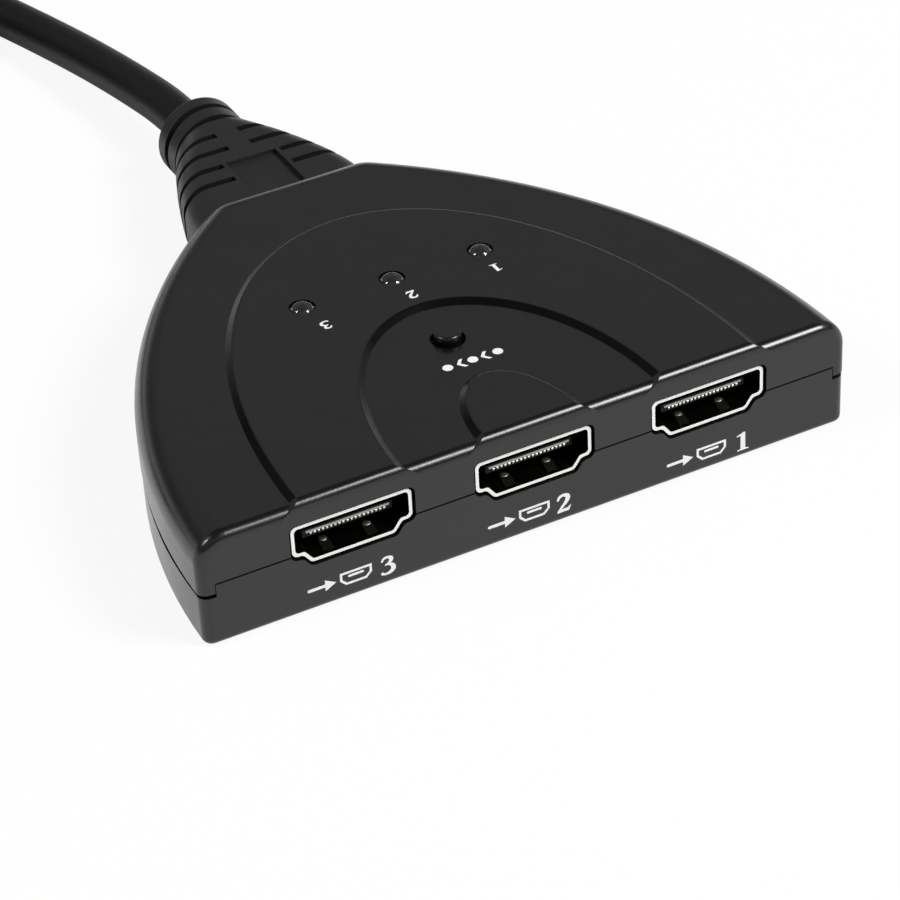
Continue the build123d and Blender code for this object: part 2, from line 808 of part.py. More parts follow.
print(f"coil length {coil_wire.length:.1f}, least gap to itself {coil_gap - cable_diameter:.2f}")
print(f"coil volume over section times length {cable_coil.part.volume / coil_volume:.4f}")

# Free stretches of the cable, from the strain relief to the coil and from the coil to the plug
plug_axis = plug_height / 2 + bare_gap
lead_route = [
    (0.0, tip_y, cable_height),
    (0.0, 53.6, cable_height),
    (-1.4, 64.4, 5.1),
    (-3.0, 75.0, 4.25),
    (-4.9, 84.8, 3.45),
    (-7.3, 94.2, 3.0),
    tuple(coil_inlet - coil_start_way * 2 * cable_diameter),
    tuple(coil_inlet),
]
tail_route = [
    tuple(coil_outlet),
    tuple(coil_outlet + coil_end_way * 3 * cable_radius),
    (-77.0, 82.6, 7.85),
    (plug_rear[0], 72.8, plug_axis),
    (plug_rear[0], plug_rear[1], plug_axis),
]


def bend_radii(route):
    """The radius of the arc at each inner point of a route, as large as its two runs allow."""
    radii = []
    for before, point, after in zip(route, route[1:], route[2:]):
        first = Vector(*point) - Vector(*before)
        second = Vector(*after) - Vector(*point)
        turn = math.radians(first.get_angle(second))
        radii.append(bend_share * min(first.length, second.length) / math.tan(turn / 2))
    return radii


for cord_name, route in (("cable_lead", lead_route), ("cable_tail", tail_route)):
    radii = bend_radii(route)
    with BuildPart() as cord:
        with BuildLine() as cord_path:
            FilletPolyline(*route, radius=radii)
        with BuildSketch(Plane(origin=route[0], z_dir=cord_path.line % 0)):
            Circle(cable_radius)
        sweep()
    finish(cord, cord_name)
    cord_length = cord_path.wire().length
    cord_volume = math.pi * cable_radius**2 * cord_length
    print(f"{cord_name} length {cord_length:.1f}, volume over section {cord.part.volume / cord_volume:.4f}")
    print("radii", [round(radius) for radius in radii])


def plug_plane(distance):
    """The plane across the output plug at a distance from its cable end."""
    return facing_front(plug_rear[0], plug_rear[1] - distance, plug_axis)


# Output plug: a moulded body with a ribbed sleeve, a metal shell, and a core with its contacts
plug_body_end = plug_sleeve_length + plug_body_length
with BuildPart() as plug_body:
    with BuildSketch(plug_plane(0)):
        Circle(plug_sleeve_tip_radius)
    with BuildSketch(plug_plane(plug_sleeve_length)):
        Circle(plug_sleeve_radius)
    loft()
    for groove in range(plug_groove_count):
        with Locations(plug_plane((groove + 1) * plug_groove_pitch)):
            Cylinder(plug_width / 2, plug_groove_width, mode=Mode.SUBTRACT)
    with BuildSketch(plug_plane(0)):
        Circle(plug_sleeve_tip_radius - plug_groove_depth)
    extrude(amount=plug_sleeve_length)
    with BuildSketch(plug_plane(plug_sleeve_length)):
        RectangleRounded(plug_shoulder_width, plug_shoulder_height, plug_rounding)
    with BuildSketch(plug_plane(plug_sleeve_length + plug_shoulder)):
        RectangleRounded(plug_width, plug_height, plug_rounding)
    loft()
    with BuildSketch(plug_plane(plug_sleeve_length + plug_shoulder)):
        RectangleRounded(plug_width, plug_height, plug_rounding)
    extrude(amount=plug_body_length - plug_shoulder)
    fillet(plug_body.faces().sort_by(Axis.Y)[0].edges(), plug_edge_radius)
    # Grip pockets above and below
    grip_y = plug_rear[1] - plug_sleeve_length - (plug_body_length + plug_shoulder) / 2
    for grip_side in (-1, 1):
        with BuildSketch(Plane.XY.offset(plug_axis + grip_side * (plug_height / 2 - plug_grip_depth))):
            with Locations((plug_rear[0], grip_y)):
                RectangleRounded(*plug_grip_size, plug_grip_rounding)
        extrude(amount=grip_side * cut_overrun, mode=Mode.SUBTRACT)
    # Seat of the metal shell
    with BuildSketch(plug_plane(plug_body_end)):
        port_outline(plug_shell_width, plug_shell_height, 0)
    extrude(amount=-plug_shell_seat, mode=Mode.SUBTRACT)
finish(plug_body, "plug_body")

# Metal shell of the plug
with BuildPart() as plug_shell:
    with BuildSketch(plug_plane(plug_body_end - plug_shell_seat)):
        port_outline(plug_shell_width, plug_shell_height, 0)
    extrude(amount=plug_shell_length + plug_shell_seat)
    with BuildSketch(plug_plane(plug_body_end - plug_shell_seat)):
        port_outline(plug_shell_width, plug_shell_height, -plug_sheet)
    extrude(amount=plug_shell_length + plug_shell_seat, mode=Mode.SUBTRACT)
finish(plug_shell, "plug_shell")

# The slot lies as far off the plug's middle as a socket's tongue does
slot_mouth = plug_body_end + plug_shell_length - plug_core_setback
with BuildPart() as plug_contacts:
    for count, side in zip(contact_counts, (1, -1)):
        with Locations(plug_plane(slot_mouth - contact_setback)):
            with Locations((0, tongue_rise + side * (plug_slot_height + contact_thickness) / 2)):
                with GridLocations(contact_pitch, 0, count, 1):
                    Box(
                        contact_width,
                        contact_thickness,
                        plug_slot_depth - contact_setback,
                        align=(Align.CENTER, Align.CENTER, Align.MAX),
                    )
finish(plug_contacts, "plug_contacts")

with BuildPart() as plug_core:
    with BuildSketch(plug_plane(plug_body_end - plug_shell_seat)):
        port_outline(plug_shell_width, plug_shell_height, -plug_sheet - insulator_gap)
    extrude(amount=plug_shell_length + plug_shell_seat - plug_core_setback)
    with BuildSketch(plug_plane(slot_mouth)):
        with Locations((0, tongue_rise)):
            Rectangle(plug_slot_width, plug_slot_height)
    extrude(amount=-plug_slot_depth, mode=Mode.SUBTRACT)
    add(plug_contacts.part, mode=Mode.SUBTRACT)
finish(plug_core, "plug_core")
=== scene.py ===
"""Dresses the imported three-input switch box and sets up the studio that it is seen in.

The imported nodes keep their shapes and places, and get their finishes here. The free cable is one
smooth curve. The printed marks, the lamps' cups and the finest parts of the sockets are pieces of
their own. Everything is in metres in the model's frame: X along the sockets, Y from the socket face
to the cable, Z up.
"""

import logging
import math
from dataclasses import dataclass, field
from enum import Enum
from typing import Iterable, Sequence

import bmesh
import bpy
from mathutils import Matrix, Vector


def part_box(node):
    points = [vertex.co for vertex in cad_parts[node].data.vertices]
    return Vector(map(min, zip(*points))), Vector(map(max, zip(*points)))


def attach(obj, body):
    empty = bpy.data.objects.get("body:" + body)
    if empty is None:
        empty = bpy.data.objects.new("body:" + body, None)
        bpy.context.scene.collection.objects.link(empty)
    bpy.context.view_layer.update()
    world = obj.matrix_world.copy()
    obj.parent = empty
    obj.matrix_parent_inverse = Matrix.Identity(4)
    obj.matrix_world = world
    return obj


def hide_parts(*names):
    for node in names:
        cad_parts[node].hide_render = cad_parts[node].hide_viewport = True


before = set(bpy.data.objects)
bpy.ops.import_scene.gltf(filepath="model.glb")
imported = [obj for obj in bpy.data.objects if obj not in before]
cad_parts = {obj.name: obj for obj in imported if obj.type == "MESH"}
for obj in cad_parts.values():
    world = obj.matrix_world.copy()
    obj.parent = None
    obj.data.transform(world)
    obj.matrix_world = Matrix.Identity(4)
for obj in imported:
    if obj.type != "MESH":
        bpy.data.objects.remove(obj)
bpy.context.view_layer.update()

MM = 0.001
LOG = logging.getLogger("switch_box")

SQUARE = ((-1, -1), (1, -1), (1, 1), (-1, 1))

Colour = tuple[float, float, float]
Point = tuple[float, float, float]
FlatPoint = tuple[float, float]
Outline = Sequence[FlatPoint]


class Body(Enum):
    """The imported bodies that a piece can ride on."""

    CASE = "case"
    BUTTON = "button"


class Slot(Enum):
    """The record's material slots, by name."""

    CASE = "case_plastic"
    BOOT = "boot_plastic"
    METAL = "bright_metal"


class Signal:
    """A value that runs between shader nodes. Sums and products on it add Math nodes."""

    def __init__(self, book: "NodeBook", socket: bpy.types.NodeSocket) -> None:
        """Keep the node tree's book and the socket that the value comes out of."""
        self.book = book
        self.socket = socket

    def _math(self, operation: str, left: "Signal | float", right: "Signal | float") -> "Signal":
        """Add one Math node.

        Args:
            operation: The node's operation, such as ADD.
            left: The first value.
            right: The second value.

        Returns:
            The node's result.
        """
        return self.book.node("ShaderNodeMath", {"operation": operation}, {0: left, 1: right})

    def __add__(self, other: "Signal | float") -> "Signal":
        """This value plus another."""
        return self._math("ADD", self, other)

    def __radd__(self, other: float) -> "Signal":
        """A number plus this value."""
        return self._math("ADD", other, self)

    def __sub__(self, other: "Signal | float") -> "Signal":
        """This value minus another."""
        return self._math("SUBTRACT", self, other)

    def __rsub__(self, other: float) -> "Signal":
        """A number minus this value."""
        return self._math("SUBTRACT", other, self)

    def __mul__(self, other: "Signal | float") -> "Signal":
        """This value times another."""
        return self._math("MULTIPLY", self, other)

    def __rmul__(self, other: float) -> "Signal":
        """A number times this value."""
        return self._math("MULTIPLY", other, self)

    def __truediv__(self, other: "Signal | float") -> "Signal":
        """This value divided by another."""
        return self._math("DIVIDE", self, other)

    def larger(self, other: "Signal | float") -> "Signal":
        """The larger of this value and another."""
        return self._math("MAXIMUM", self, other)

    def smaller(self, other: "Signal | float") -> "Signal":
        """The smaller of this value and another."""
        return self._math("MINIMUM", self, other)

    def above(self, other: "Signal | float") -> "Signal":
        """1 where this value is above another, and else 0."""
        return self._math("GREATER_THAN", self, other)

    def held(self, low: float, high: float) -> "Signal":
        """This value, held between two numbers."""
        return self.larger(low).smaller(high)

    def between(self, low: float, high: float) -> "Signal":
        """1 where this value is between two numbers, and else 0."""
        return self.above(low) * (1 - self.above(high))


Input = Signal | float | Sequence[float]


class NodeBook:
    """A node tree that nodes are added to, one call for each."""

    def __init__(self, tree: bpy.types.NodeTree) -> None:
        """Empty the tree and keep it."""
        self.tree = tree
        tree.nodes.clear()

    def node(
        self,
        kind: str,
        settings: dict[str, object] | None = None,
        inputs: dict[int | str, Input] | None = None,
        output: int | str = 0,
    ) -> Signal:
        """Add a node, set it up, then feed its sockets.

        Args:
            kind: The node's type.
            settings: Its own settings, and for a ramp its stops as (place, colour) pairs.
            inputs: Values or signals, by socket name or number.
            output: The socket that the result comes out of.

        Returns:
            The signal at that socket.
        """
        made = self.tree.nodes.new(kind)
        for name, value in (settings or {}).items():
            if name == "stops":
                self._set_stops(made, value)
            else:
                setattr(made, name, value)
        for name, value in (inputs or {}).items():
            if isinstance(value, Signal):
                self.tree.links.new(value.socket, made.inputs[name])
            else:
                made.inputs[name].default_value = value
        return Signal(self, made.outputs[output]) if made.outputs else Signal(self, None)

    @staticmethod
    def _set_stops(ramp: bpy.types.Node, stops: Sequence[tuple[float, Colour]]) -> None:
        """Give a colour ramp its stops.

        Args:
            ramp: The ramp's node.
            stops: The place and colour of each stop.
        """
        elements = ramp.color_ramp.elements
        while len(elements) < len(stops):
            elements.new(1.0)
        for element, (place, colour) in zip(elements, stops):
            element.position = place
            element.color = (*colour, 1.0)

    def place(self) -> Signal:
        """Where a point of the surface is, in the object's own frame."""
        return self.node("ShaderNodeTexCoord", output="Object")

    def axis(self, name: str) -> Signal:
        """How far along X, Y or Z a point of the surface is."""
        return self.node("ShaderNodeSeparateXYZ", None, {0: self.place()}, name)

    def along(self, arrow: Signal, way: Point) -> Signal:
        """How far an arrow reaches one way."""
        inputs = {0: arrow, 1: way}
        return self.node("ShaderNodeVectorMath", {"operation": "DOT_PRODUCT"}, inputs, "Value")

    def noise(self, size: float, detail: float = 2.0, roughness: float = 0.5) -> Signal:
        """Cloudy noise from 0 to 1.

        Args:
            size: How large its lumps are, in metres.
            detail: How many finer layers it has.
            roughness: How strong the finer layers are.

        Returns:
            The noise.
        """
        return self.node(
            "ShaderNodeTexNoise",
            {"noise_dimensions": "3D"},
            {"Vector": self.place(), "Scale": 1 / size, "Detail": detail, "Roughness": roughness},
        )

    def blend_colours(
        self, share: Signal, first: Signal | Colour, second: Signal | Colour
    ) -> Signal:
        """Mix two colours.

        Args:
            share: How much there is of the second colour, from 0 to 1.
            first: The first colour.
            second: The second colour.

        Returns:
            The mixed colour.
        """
        first, second = (
            tint if isinstance(tint, Signal) else (*tint, 1.0) for tint in (first, second)
        )
        settings = {"data_type": "RGBA", "clamp_factor": True}
        return self.node("ShaderNodeMix", settings, {0: share, 6: first, 7: second}, 2)

    def bump(self, height: Signal, depth: float) -> Signal:
        """Tilt the surface's normal by a height.

        Args:
            height: The height, from 0 to 1.
            depth: How deep a height of 1 is, in metres.

        Returns:
            The tilted normal.
        """
        return self.node("ShaderNodeBump", None, {"Height": height, "Distance": depth})

    def principled(self, inputs: dict[int | str, Input]) -> Signal:
        """Add the main surface shader."""
        return self.node("ShaderNodeBsdfPrincipled", None, inputs)


def shade(tint: Colour, factor: float) -> Colour:
    """A colour made lighter or darker by a factor."""
    return (tint[0] * factor, tint[1] * factor, tint[2] * factor)


def new_material(name: str) -> tuple[bpy.types.Material, NodeBook]:
    """Make an empty node material.

    Args:
        name: Its name.

    Returns:
        The material and the book of its nodes.
    """
    material = bpy.data.materials.new(name)
    material.use_nodes = True
    return material, NodeBook(material.node_tree)


@dataclass(frozen=True)
class Finish:
    """What a piece's surface is like. Each kind of finish works out its own shader."""

    name: str

    def surface(self, book: NodeBook) -> Signal:
        """Work out the shader."""
        raise NotImplementedError

    def material(self) -> bpy.types.Material:
        """Build the finish.

        Returns:
            The material.
        """
        made, book = new_material(self.name)
        book.node("ShaderNodeOutputMaterial", None, {"Surface": self.surface(book)})
        return made


@dataclass(frozen=True)
class CaseShadows:
    """Painted shade on the case, darkened and dull: on some step flanks and at its parting lines.
    """

    darkening: float = 0.7
    flank_look: Point = (-0.5, -0.87, 0.0)
    flank_start: float = 0.04
    flank_sharpness: float = 8.0
    flank_share: float = 0.82
    flank_heights: tuple[float, float] = (14.53 * MM, 15.02 * MM)
    flank_front: float = -44.9 * MM
    gap_heights: tuple[float, float] = (6.46 * MM, 7.0 * MM)
    gap_front: float = -44.5 * MM
    gap_growth: float = 0.05
    gap_extra: float = 0.55 * MM
    seam_heights: tuple[float, float] = (8.1 * MM, 8.31 * MM)
    seam_reach: float = 39.3 * MM

    def share(self, book: NodeBook) -> Signal:
        """Work out how much painted shade each point of the case gets.

        Args:
            book: The nodes of the case's finish.

        Returns:
            1 at the parting lines, near 1 on flanks that look to the front left, and else 0.
        """
        facing = book.node("ShaderNodeTexCoord", output="Normal")
        lean = book.along(facing, self.flank_look)
        across, deep, height = (book.axis(name) for name in "XYZ")
        # Painted shade: flanks that look to the front left are darkened
        turned = ((lean - self.flank_start) * self.flank_sharpness).held(0.0, 1.0)
        flank = turned * height.between(*self.flank_heights) * deep.above(self.flank_front)
        # Painted shadow in the side and back parting gap, reaching lower further back
        behind = deep.above(self.gap_front)
        low, high = self.gap_heights
        widened = height + ((deep - self.gap_front) * self.gap_growth).held(0.0, self.gap_extra)
        gap = widened.above(low) * (1 - height.above(high)) * behind
        # Painted shadow in the parting seam across the front
        seam = height.between(*self.seam_heights) * (1 - behind)
        seam = seam * across.between(-self.seam_reach, self.seam_reach)
        return (flank * self.flank_share).larger(gap).larger(seam)


@dataclass(frozen=True)
class Moulding(Finish):
    """A moulded plastic: its colour with faint clouds, its gloss with faint wear, and a grain."""

    colour: Colour
    roughness: float
    specular: float = 0.5
    clouding: float = 0.12
    cloud_size: float = 14 * MM
    wear: float = 0.06
    wear_size: float = 5 * MM
    grain_size: float = 0.25 * MM
    grain_depth: float = 0.004 * MM
    shadows: CaseShadows | None = None

    def surface(self, book: NodeBook) -> Signal:
        """Work out the shader.

        Args:
            book: The finish's nodes.

        Returns:
            The shader.
        """
        clouds = book.noise(self.cloud_size, detail=3.0)
        rubbed = book.noise(self.wear_size, detail=5.0, roughness=0.62)
        grain = book.noise(self.grain_size, roughness=0.6)
        low, high = 1 - self.clouding, 1 + self.clouding
        glossy = book.principled(
            {
                "Base Color": book.blend_colours(
                    clouds, shade(self.colour, low), shade(self.colour, high)
                ),
                "Roughness": (rubbed - 0.5) * (2 * self.wear) + self.roughness,
                "Specular IOR Level": self.specular,
                "Normal": book.bump(grain, self.grain_depth),
            }
        )
        if self.shadows is None:
            return glossy
        # Painted shade: a darkened diffuse colour mixed in over the gloss
        painted_shade_tint = (*shade(self.colour, self.shadows.darkening), 1.0)
        painted_shade = book.node("ShaderNodeBsdfDiffuse", None, {"Color": painted_shade_tint})
        inputs = {0: self.shadows.share(book), 1: glossy, 2: painted_shade}
        return book.node("ShaderNodeMixShader", None, inputs)


@dataclass(frozen=True)
class Plating(Finish):
    """A plated metal: bright, with drawn streaks and a faint tarnish."""

    colour: Colour
    tarnish: Colour
    roughness: float
    stain_size: float = 1.6 * MM
    streak_size: float = 0.35 * MM
    streak_depth: float = 0.003 * MM
    streak_gloss: float = 0.16

    def surface(self, book: NodeBook) -> Signal:
        """Work out the shader.

        Args:
            book: The finish's nodes.

        Returns:
            The shader.
        """
        stain = book.noise(self.stain_size, detail=4.0, roughness=0.6)
        streaks = book.noise(self.streak_size, detail=3.0, roughness=0.7)
        return book.principled(
            {
                "Base Color": book.blend_colours(stain, self.colour, self.tarnish),
                "Metallic": 1.0,
                "Roughness": (streaks - 0.5) * self.streak_gloss + self.roughness,
                "Normal": book.bump(streaks, self.streak_depth),
            }
        )


@dataclass(frozen=True)
class SocketPlating(Finish):
    """Socket shell plating: pale satin rim, partly painted light, near black inside, painted shade.
    """

    rim: Colour
    inside: Colour
    rim_y: float
    roughness: float = 0.34
    rim_metallic: float = 0.25
    rim_stain: float = 0.9
    inside_stain: float = 0.6
    stain_size: float = 1.2 * MM
    streak_size: float = 0.3 * MM
    streak_depth: float = 0.002 * MM
    streak_gloss: float = 0.14

    def surface(self, book: NodeBook) -> Signal:
        """Work out the shader.

        Args:
            book: The finish's nodes.

        Returns:
            The shader.
        """
        # Lit and shaded copies of one plating: painted light on the pale rim, painted shade inside,
        # where the shell looks on itself
        rim = 1 - book.axis("Y").above(self.rim_y)
        stain = book.noise(self.stain_size, detail=3.0, roughness=0.6)
        streaks = book.noise(self.streak_size, detail=3.0, roughness=0.7)
        pale = book.blend_colours(stain, self.rim, shade(self.rim, self.rim_stain))
        painted_shade_tint = book.blend_colours(stain, self.inside, shade(self.inside, self.inside_stain))
        return book.principled(
            {
                "Base Color": book.blend_colours(rim, painted_shade_tint, pale),
                "Metallic": 1 - rim * (1 - self.rim_metallic),
                "Roughness": (streaks - 0.5) * self.streak_gloss + self.roughness,
                "Normal": book.bump(streaks, self.streak_depth),
            }
        )


@dataclass(frozen=True)
class ClearCast(Finish):
    """A clear cast resin, with faint flow lines inside it."""

    colour: Colour
    roughness: float
    ior: float = 1.5
    clearness: float = 0.965
    flow_size: float = 0.8 * MM
    flow_tint: float = 0.9
    flow_gloss: float = 0.04

    def surface(self, book: NodeBook) -> Signal:
        """Work out the shader.

        Args:
            book: The finish's nodes.

        Returns:
            The shader.
        """
        flow = book.noise(self.flow_size, detail=3.0)
        tinted = shade(self.colour, self.flow_tint)
        return book.principled(
            {
                "Base Color": book.blend_colours(flow, self.colour, tinted),
                "Roughness": flow * self.flow_gloss + self.roughness,
                "IOR": self.ior,
                "Transmission Weight": self.clearness,
            }
        )


@dataclass(frozen=True)
class PrintedInk(Finish):
    """A thin screen-printed ink that lets a little of the plastic through in specks."""

    colour: Colour
    worn: Colour
    roughness: float = 0.5
    speck_size: float = 0.12 * MM
    speck_depth: float = 0.004 * MM
    speck_gloss: float = 0.2
    speck_start: float = 0.58
    speck_strength: float = 4.0

    def surface(self, book: NodeBook) -> Signal:
        """Work out the shader.

        Args:
            book: The finish's nodes.

        Returns:
            The shader.
        """
        specks = book.noise(self.speck_size, detail=3.0, roughness=0.7)
        thin = (specks - self.speck_start).larger(0.0) * self.speck_strength
        return book.principled(
            {
                "Base Color": book.blend_colours(thin, self.colour, self.worn),
                "Roughness": specks * self.speck_gloss + self.roughness,
                "Normal": book.bump(specks, self.speck_depth),
            }
        )


@dataclass(frozen=True)
class BoardLacquer(Finish):
    """A circuit board's lacquer, with copper tracks that show under it."""

    colour: Colour
    track: Colour
    roughness: float = 0.35
    track_pitch: float = 1.3 * MM
    track_waves: float = 0.3
    track_bends: float = 2.5
    track_start: float = 0.62
    track_strength: float = 6.0
    track_depth: float = 0.03 * MM
    wander_size: float = 9 * MM
    wander_gloss: float = 0.1

    def surface(self, book: NodeBook) -> Signal:
        """Work out the shader.

        Args:
            book: The finish's nodes.

        Returns:
            The shader.
        """
        wander = book.noise(self.wander_size, detail=1.0)
        bands = book.node(
            "ShaderNodeTexWave",
            {"wave_type": "BANDS", "bands_direction": "X"},
            {
                "Vector": book.place(),
                "Scale": self.track_waves / self.track_pitch,
                "Distortion": self.track_bends,
                "Detail": 0.0,
            },
            1,
        )
        tracks = (bands - self.track_start).larger(0.0) * self.track_strength * wander
        return book.principled(
            {
                "Base Color": book.blend_colours(tracks, self.colour, self.track),
                "Roughness": wander * self.wander_gloss + self.roughness,
                "Normal": book.bump(tracks, self.track_depth),
            }
        )


def material_of(finish: Finish) -> bpy.types.Material:
    """Declare a dataclass field that holds a finish's material."""
    return field(default_factory=finish.material)


@dataclass
class Finishes:
    """Every finish on the object, made once and shared."""

    case: bpy.types.Material = material_of(
        Moulding(
            "case gloss black",
            (0.0045, 0.0044, 0.0047),
            0.26,
            specular=0.58,
            # painted shade on step flanks and parting lines
            shadows=CaseShadows(),
        )
    )
    boot: bpy.types.Material = material_of(
        Moulding(
            "boot soft black",
            (0.0105, 0.0101, 0.0105),
            0.42,
            grain_size=0.4 * MM,
            grain_depth=0.012 * MM,
        )
    )
    cable: bpy.types.Material = material_of(
        Moulding(
            "cable jacket",
            (0.003, 0.0029, 0.0031),
            0.46,
            specular=0.31,
            grain_depth=0.008 * MM,
        )
    )
    nickel: bpy.types.Material = material_of(
        Plating("nickel plate", (0.86, 0.84, 0.8), (0.7, 0.66, 0.6), 0.2)
    )
    gold: bpy.types.Material = material_of(
        Plating("gold plate", (0.86, 0.64, 0.28), (0.62, 0.42, 0.16), 0.24)
    )
    # painted light on the shell's rim and painted shade inside it
    shell: bpy.types.Material = material_of(
        SocketPlating("socket shell plate", (0.92, 0.92, 0.9), (0.05, 0.047, 0.04), -45.84 * MM)
    )
    nose: bpy.types.Material = material_of(
        Plating("contact tip plate", (0.5, 0.49, 0.47), (0.34, 0.33, 0.31), 0.42)
    )
    dimple: bpy.types.Material = material_of(
        Plating("spring dimple plate", (0.8, 0.76, 0.62), (0.55, 0.5, 0.38), 0.4)
    )
    insulator: bpy.types.Material = material_of(
        Moulding("insulator black", (0.004, 0.004, 0.004), 0.5, specular=0.15)
    )
    lens: bpy.types.Material = material_of(ClearCast("lamp lens", (0.62, 0.66, 0.66), 0.05))
    ink: bpy.types.Material = material_of(
        PrintedInk("printed white", (0.85, 0.86, 0.87), (0.3, 0.3, 0.3))
    )
    board: bpy.types.Material = material_of(
        BoardLacquer("board lacquer", (0.012, 0.075, 0.03), (0.03, 0.16, 0.06))
    )
    ceramic: bpy.types.Material = material_of(
        Moulding("capacitor ceramic", (0.36, 0.25, 0.14), 0.45)
    )
    screw: bpy.types.Material = material_of(
        Plating("screw zinc", (0.42, 0.42, 0.43), (0.25, 0.24, 0.24), 0.36)
    )
    wire: bpy.types.Material = material_of(Moulding("wire jacket", (0.42, 0.42, 0.4), 0.42))


def dress(node: str, material: bpy.types.Material) -> None:
    """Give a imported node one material.

    Args:
        node: The node's name.
        material: Its finish.
    """
    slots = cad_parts[node].data.materials
    slots.clear()
    slots.append(material)


def add_piece(
    name: str,
    mesh: bpy.types.Mesh | bpy.types.Curve,
    material: bpy.types.Material,
    body: Body,
) -> bpy.types.Object:
    """Put a new piece into the scene, dressed and riding on a body.

    Args:
        name: The piece's name.
        mesh: Its shape, in the model's frame.
        material: Its finish.
        body: The body that it moves with.

    Returns:
        The piece.
    """
    piece = bpy.data.objects.new(name, mesh)
    bpy.context.scene.collection.objects.link(piece)
    mesh.materials.clear()
    mesh.materials.append(material)
    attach(piece, body.value)
    return piece


@dataclass
class Viewpoint:
    """The camera, where the photograph was taken from."""

    place: Point = (-0.142249, -0.316058, 0.231105)
    azimuth: float = 26.0237
    elevation: float = 35.7092
    roll: float = -3.1584
    focal_pixels: float = 3378.64
    picture_pixels: float = 900.0

    def build(self) -> bpy.types.Object:
        """Make the camera and give it to the scene.

        Returns:
            The camera.
        """
        lens = bpy.data.cameras.new("viewpoint")
        lens.lens = self.focal_pixels / self.picture_pixels * lens.sensor_width
        lens.clip_start = 0.01
        lens.clip_end = 20.0
        camera = bpy.data.objects.new("viewpoint", lens)
        bpy.context.scene.collection.objects.link(camera)
        turn = (
            Matrix.Rotation(math.radians(-self.azimuth), 4, "Z")
            @ Matrix.Rotation(math.radians(90 - self.elevation), 4, "X")
            @ Matrix.Rotation(math.radians(self.roll), 4, "Z")
        )
        camera.matrix_world = Matrix.Translation(self.place) @ turn
        bpy.context.scene.camera = camera
        return camera


@dataclass
class Softbox:
    """One square lamp of the studio."""

    name: str
    place: Point
    size: float
    power: float
    colour: Colour = (1.0, 1.0, 1.0)

    def build(self) -> bpy.types.Object:
        """Hang the lamp and point it at the object.

        Returns:
            The lamp.
        """
        light = bpy.data.lights.new(self.name, "AREA")
        light.shape = "SQUARE"
        light.size = self.size
        light.energy = self.power
        light.color = self.colour
        lamp = bpy.data.objects.new(self.name, light)
        bpy.context.scene.collection.objects.link(lamp)
        lamp.location = self.place
        lamp.rotation_mode = "QUATERNION"
        lamp.rotation_quaternion = Vector(self.place).to_track_quat("Z", "Y")
        return lamp


@dataclass
class Studio:
    """The pale floor, the sky of a light tent and its lamps."""

    floor_size: float = 6.0
    floor_drop: float = 0.15 * MM
    floor_colour: Colour = (0.86, 0.86, 0.86)
    floor_white_share: float = 0.9
    sky_stops: tuple[tuple[float, Colour], ...] = (
        (0.06, (0.95, 0.95, 0.95)),
        (0.18, (0.1, 0.1, 0.1)),
        (0.36, (0.1, 0.1, 0.1)),
        (0.52, (0.34, 0.34, 0.345)),
        (0.68, (0.34, 0.34, 0.345)),
        (0.84, (0.04, 0.04, 0.04)),
    )
    floor_dim: float = 0.2
    floor_behind: Point = (0.5, 0.87, 0.0)
    floor_fade: FlatPoint = (0.0, 0.03)
    lamps: tuple[Softbox, ...] = (
        Softbox("key_lamp", (0.48, -0.52, 0.72), 0.35, 10.0, (1.0, 0.98, 0.94)),
        Softbox("side_lamp", (-0.7, 0.06, 0.72), 0.2, 3.2),
    )

    def build(self) -> None:
        """Lay the floor, paint the sky and hang the lamps."""
        self._floor()
        self._sky()
        for lamp in self.lamps:
            lamp.build()

    @staticmethod
    def _seen_straight(book: NodeBook) -> Signal:
        """Tell the rays that show the background from those that light the object.

        Args:
            book: The nodes that need it.

        Returns:
            1 for rays from the camera, off gloss or through glass, and else 0.
        """
        camera = book.node("ShaderNodeLightPath", output="Is Camera Ray")
        glossy = book.node("ShaderNodeLightPath", output="Is Glossy Ray")
        through = book.node("ShaderNodeLightPath", output="Is Transmission Ray")
        return camera.larger(glossy).larger(through)

    def _floor(self) -> None:
        """Lay a floor that looks white and keeps the object's shadow."""
        half = self.floor_size / 2
        mesh = bpy.data.meshes.new("floor")
        corners = [(x * half, y * half, -self.floor_drop) for x, y in SQUARE]
        mesh.from_pydata(corners, [], [(0, 1, 2, 3)])
        material, book = new_material("floor paper")
        paper = book.node(
            "ShaderNodeBsdfDiffuse", None, {"Color": (*self.floor_colour, 1.0), "Roughness": 0.5}
        )
        glow = book.node("ShaderNodeEmission", None, {"Color": (1, 1, 1, 1), "Strength": 1.0})
        behind = book.along(book.place(), self.floor_behind)
        near, far = self.floor_fade
        dimmed = ((behind - near) / (far - near)).held(0.0, 1.0) * (1 - self.floor_dim)
        mirrored = book.node("ShaderNodeLightPath", output="Is Glossy Ray")
        share = self._seen_straight(book) * (1 - mirrored * dimmed) * self.floor_white_share
        surface = book.node("ShaderNodeMixShader", None, {0: share, 1: paper, 2: glow})
        book.node("ShaderNodeOutputMaterial", None, {"Surface": surface})
        mesh.materials.append(material)
        floor = bpy.data.objects.new("floor", mesh)
        bpy.context.scene.collection.objects.link(floor)

    def _sky(self) -> None:
        """Paint the tent: white where the camera looks, and grey overhead for everything else."""
        world = bpy.data.worlds.new("tent")
        world.use_nodes = True
        bpy.context.scene.world = world
        book = NodeBook(world.node_tree)
        direction = book.node("ShaderNodeTexCoord", output="Generated")
        height = book.node("ShaderNodeSeparateXYZ", None, {0: direction}, "Z")
        sky = book.node("ShaderNodeValToRGB", {"stops": self.sky_stops}, {0: height})
        camera = book.node("ShaderNodeLightPath", output="Is Camera Ray")
        seen = book.blend_colours(camera, sky, (1.0, 1.0, 1.0))
        light = book.node("ShaderNodeBackground", None, {"Color": seen, "Strength": 1.0})
        book.node("ShaderNodeOutputWorld", None, {"Surface": light})


